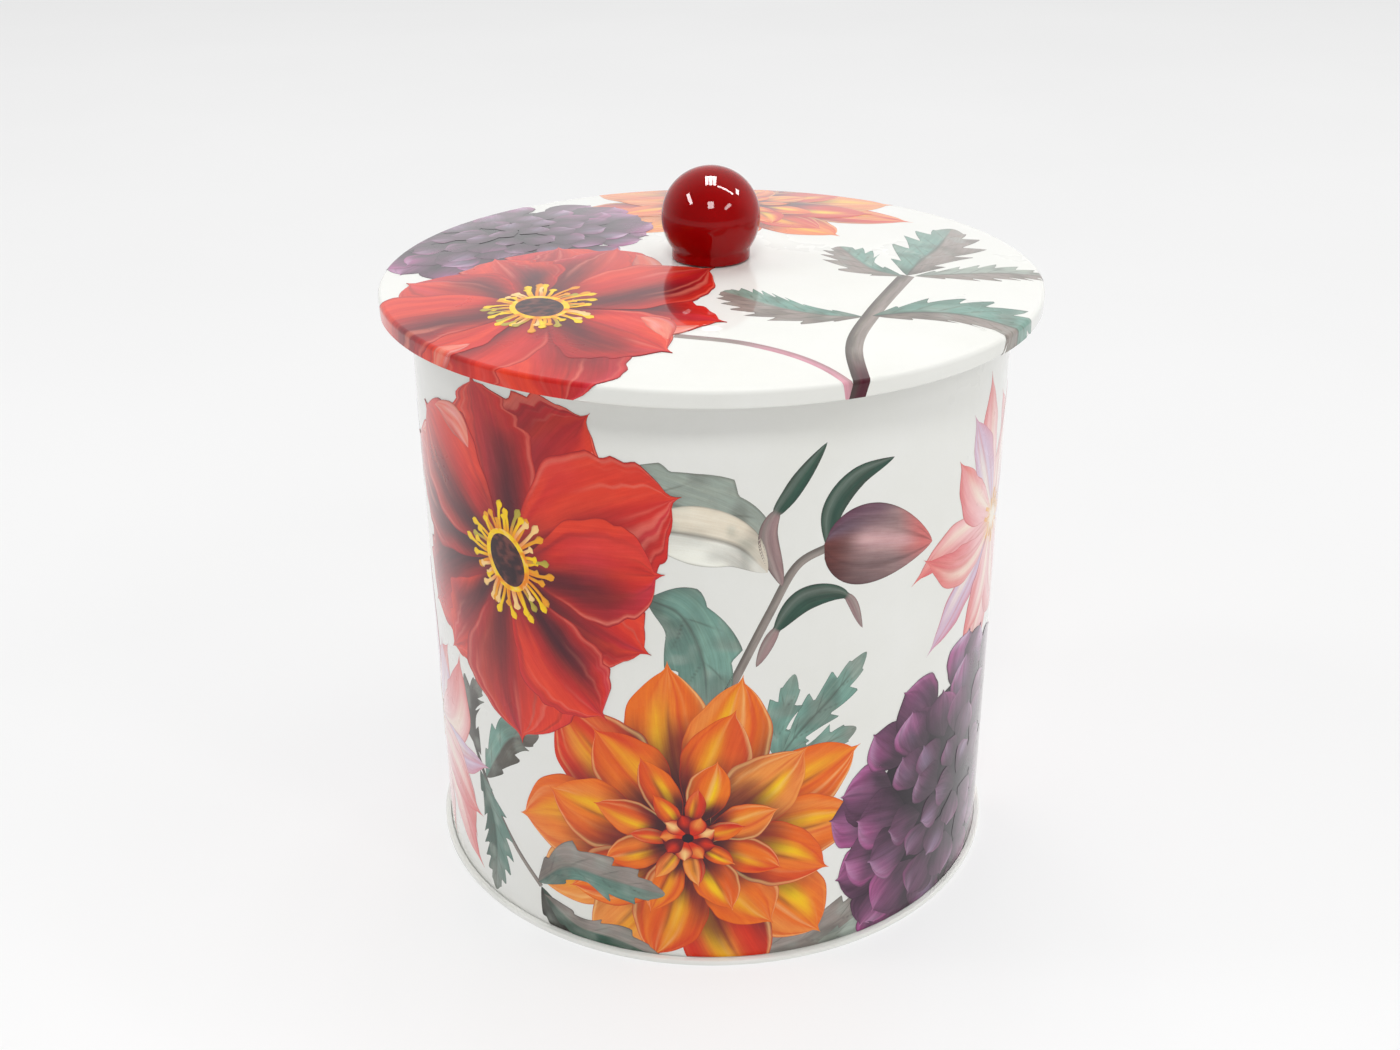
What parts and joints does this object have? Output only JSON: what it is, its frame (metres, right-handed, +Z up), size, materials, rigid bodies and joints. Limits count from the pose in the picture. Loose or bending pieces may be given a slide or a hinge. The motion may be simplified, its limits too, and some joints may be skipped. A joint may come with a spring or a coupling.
{
  "type": "tea caddy",
  "caption": "Round printed tinplate tea or biscuit tin with a seamed base, a domed overhanging lift-off lid on a friction ring, and a glossy red ball knob.",
  "frame": {"origin": "centre of the base rim's flat underside, on the surface that the tin stands on", "axes": "+Z up along the tin's axis, through the knob; -Y towards the printed front; the wall's side seam is at +Y"},
  "size_m": [0.17, 0.17, 0.1883],
  "materials": {
    "printed_tin": "gloss white lacquer with a colour floral print, bare tin inside",
    "white_tin": "gloss white lacquer",
    "bare_tin": "bright tinplate",
    "red_knob": "high gloss deep red",
    "zinc_steel": "zinc plated",
    "brass": "turned"
  },
  "bodies": {
    "tin": {"body_shell": "printed_tin", "base_plate": "white_tin"},
    "lid": {"lid_cover": "printed_tin", "lid_plug": "bare_tin", "knob": "red_knob", "knob_insert": "brass", "knob_screw": "zinc_steel", "knob_washer": "zinc_steel"}
  },
  "joints": [
    {"name": "lid_lift", "type": "slide", "parent": "tin", "child": "lid", "axis": [0, 0, 1], "range_m": [0, 0.08]}
  ]
}
